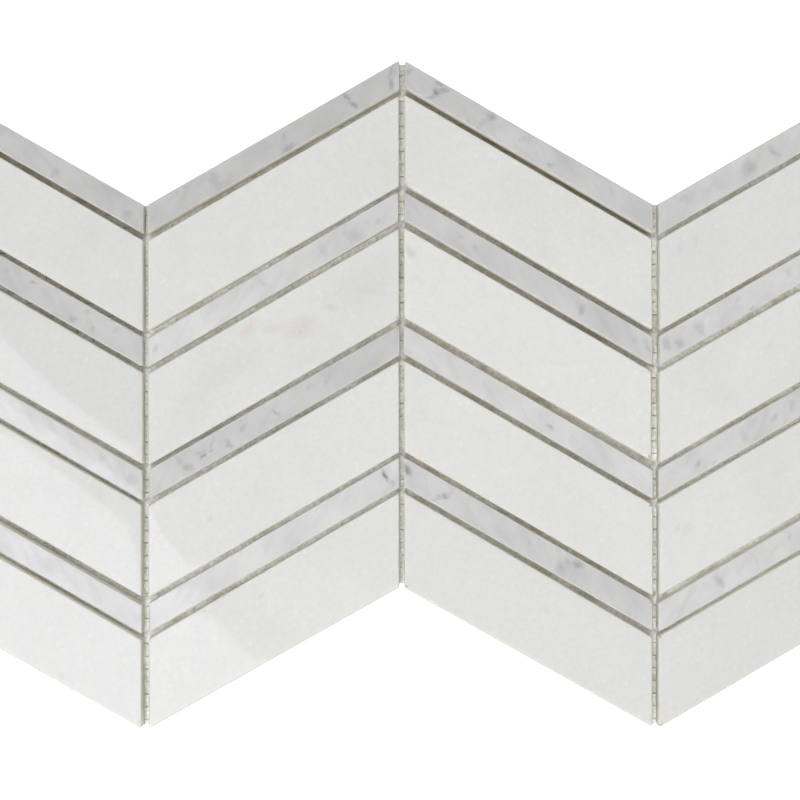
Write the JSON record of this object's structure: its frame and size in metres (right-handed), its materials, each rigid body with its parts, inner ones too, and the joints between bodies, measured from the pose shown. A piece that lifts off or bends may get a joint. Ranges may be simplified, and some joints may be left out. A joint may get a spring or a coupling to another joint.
{
  "type": "net-backed chevron marble mosaic sheet",
  "caption": "Sheet of marble mosaic tile: slanted white strips with narrow grey strips between them, in interlocking chevron columns on a backing net.",
  "frame": {"origin": "on the floor plane under the centre of the sheet, where the middle vertical joint crosses its mid-height", "axes": "+X across the columns, along the sheet's longest side; +Y up the pattern as it goes on a wall; +Z out of the polished face"},
  "size_m": [0.4058, 0.266, 0.0105],
  "materials": {
    "white_marble": "polished",
    "grey_marble": "polished",
    "glass_net": "coated glass-fibre yarn"
  },
  "bodies": {
    "root": {"narrow_strip_c1_r1": "grey_marble", "wide_strip_c1_r1": "white_marble", "narrow_strip_c1_r2": "grey_marble", "wide_strip_c1_r2": "white_marble", "narrow_strip_c1_r3": "grey_marble", "wide_strip_c1_r3": "white_marble", "narrow_strip_c1_r4": "grey_marble", "wide_strip_c1_r4": "white_marble", "narrow_strip_c2_r1": "grey_marble", "wide_strip_c2_r1": "white_marble", "narrow_strip_c2_r2": "grey_marble", "wide_strip_c2_r2": "white_marble", "narrow_strip_c2_r3": "grey_marble", "wide_strip_c2_r3": "white_marble", "narrow_strip_c2_r4": "grey_marble", "wide_strip_c2_r4": "white_marble", "narrow_strip_c3_r1": "grey_marble", "wide_strip_c3_r1": "white_marble", "narrow_strip_c3_r2": "grey_marble", "wide_strip_c3_r2": "white_marble", "narrow_strip_c3_r3": "grey_marble", "wide_strip_c3_r3": "white_marble", "narrow_strip_c3_r4": "grey_marble", "wide_strip_c3_r4": "white_marble", "narrow_strip_c4_r1": "grey_marble", "wide_strip_c4_r1": "white_marble", "narrow_strip_c4_r2": "grey_marble", "wide_strip_c4_r2": "white_marble", "narrow_strip_c4_r3": "grey_marble", "wide_strip_c4_r3": "white_marble", "narrow_strip_c4_r4": "grey_marble", "wide_strip_c4_r4": "white_marble", "net_warp": "glass_net", "net_weft": "glass_net"}
  },
  "joints": []
}
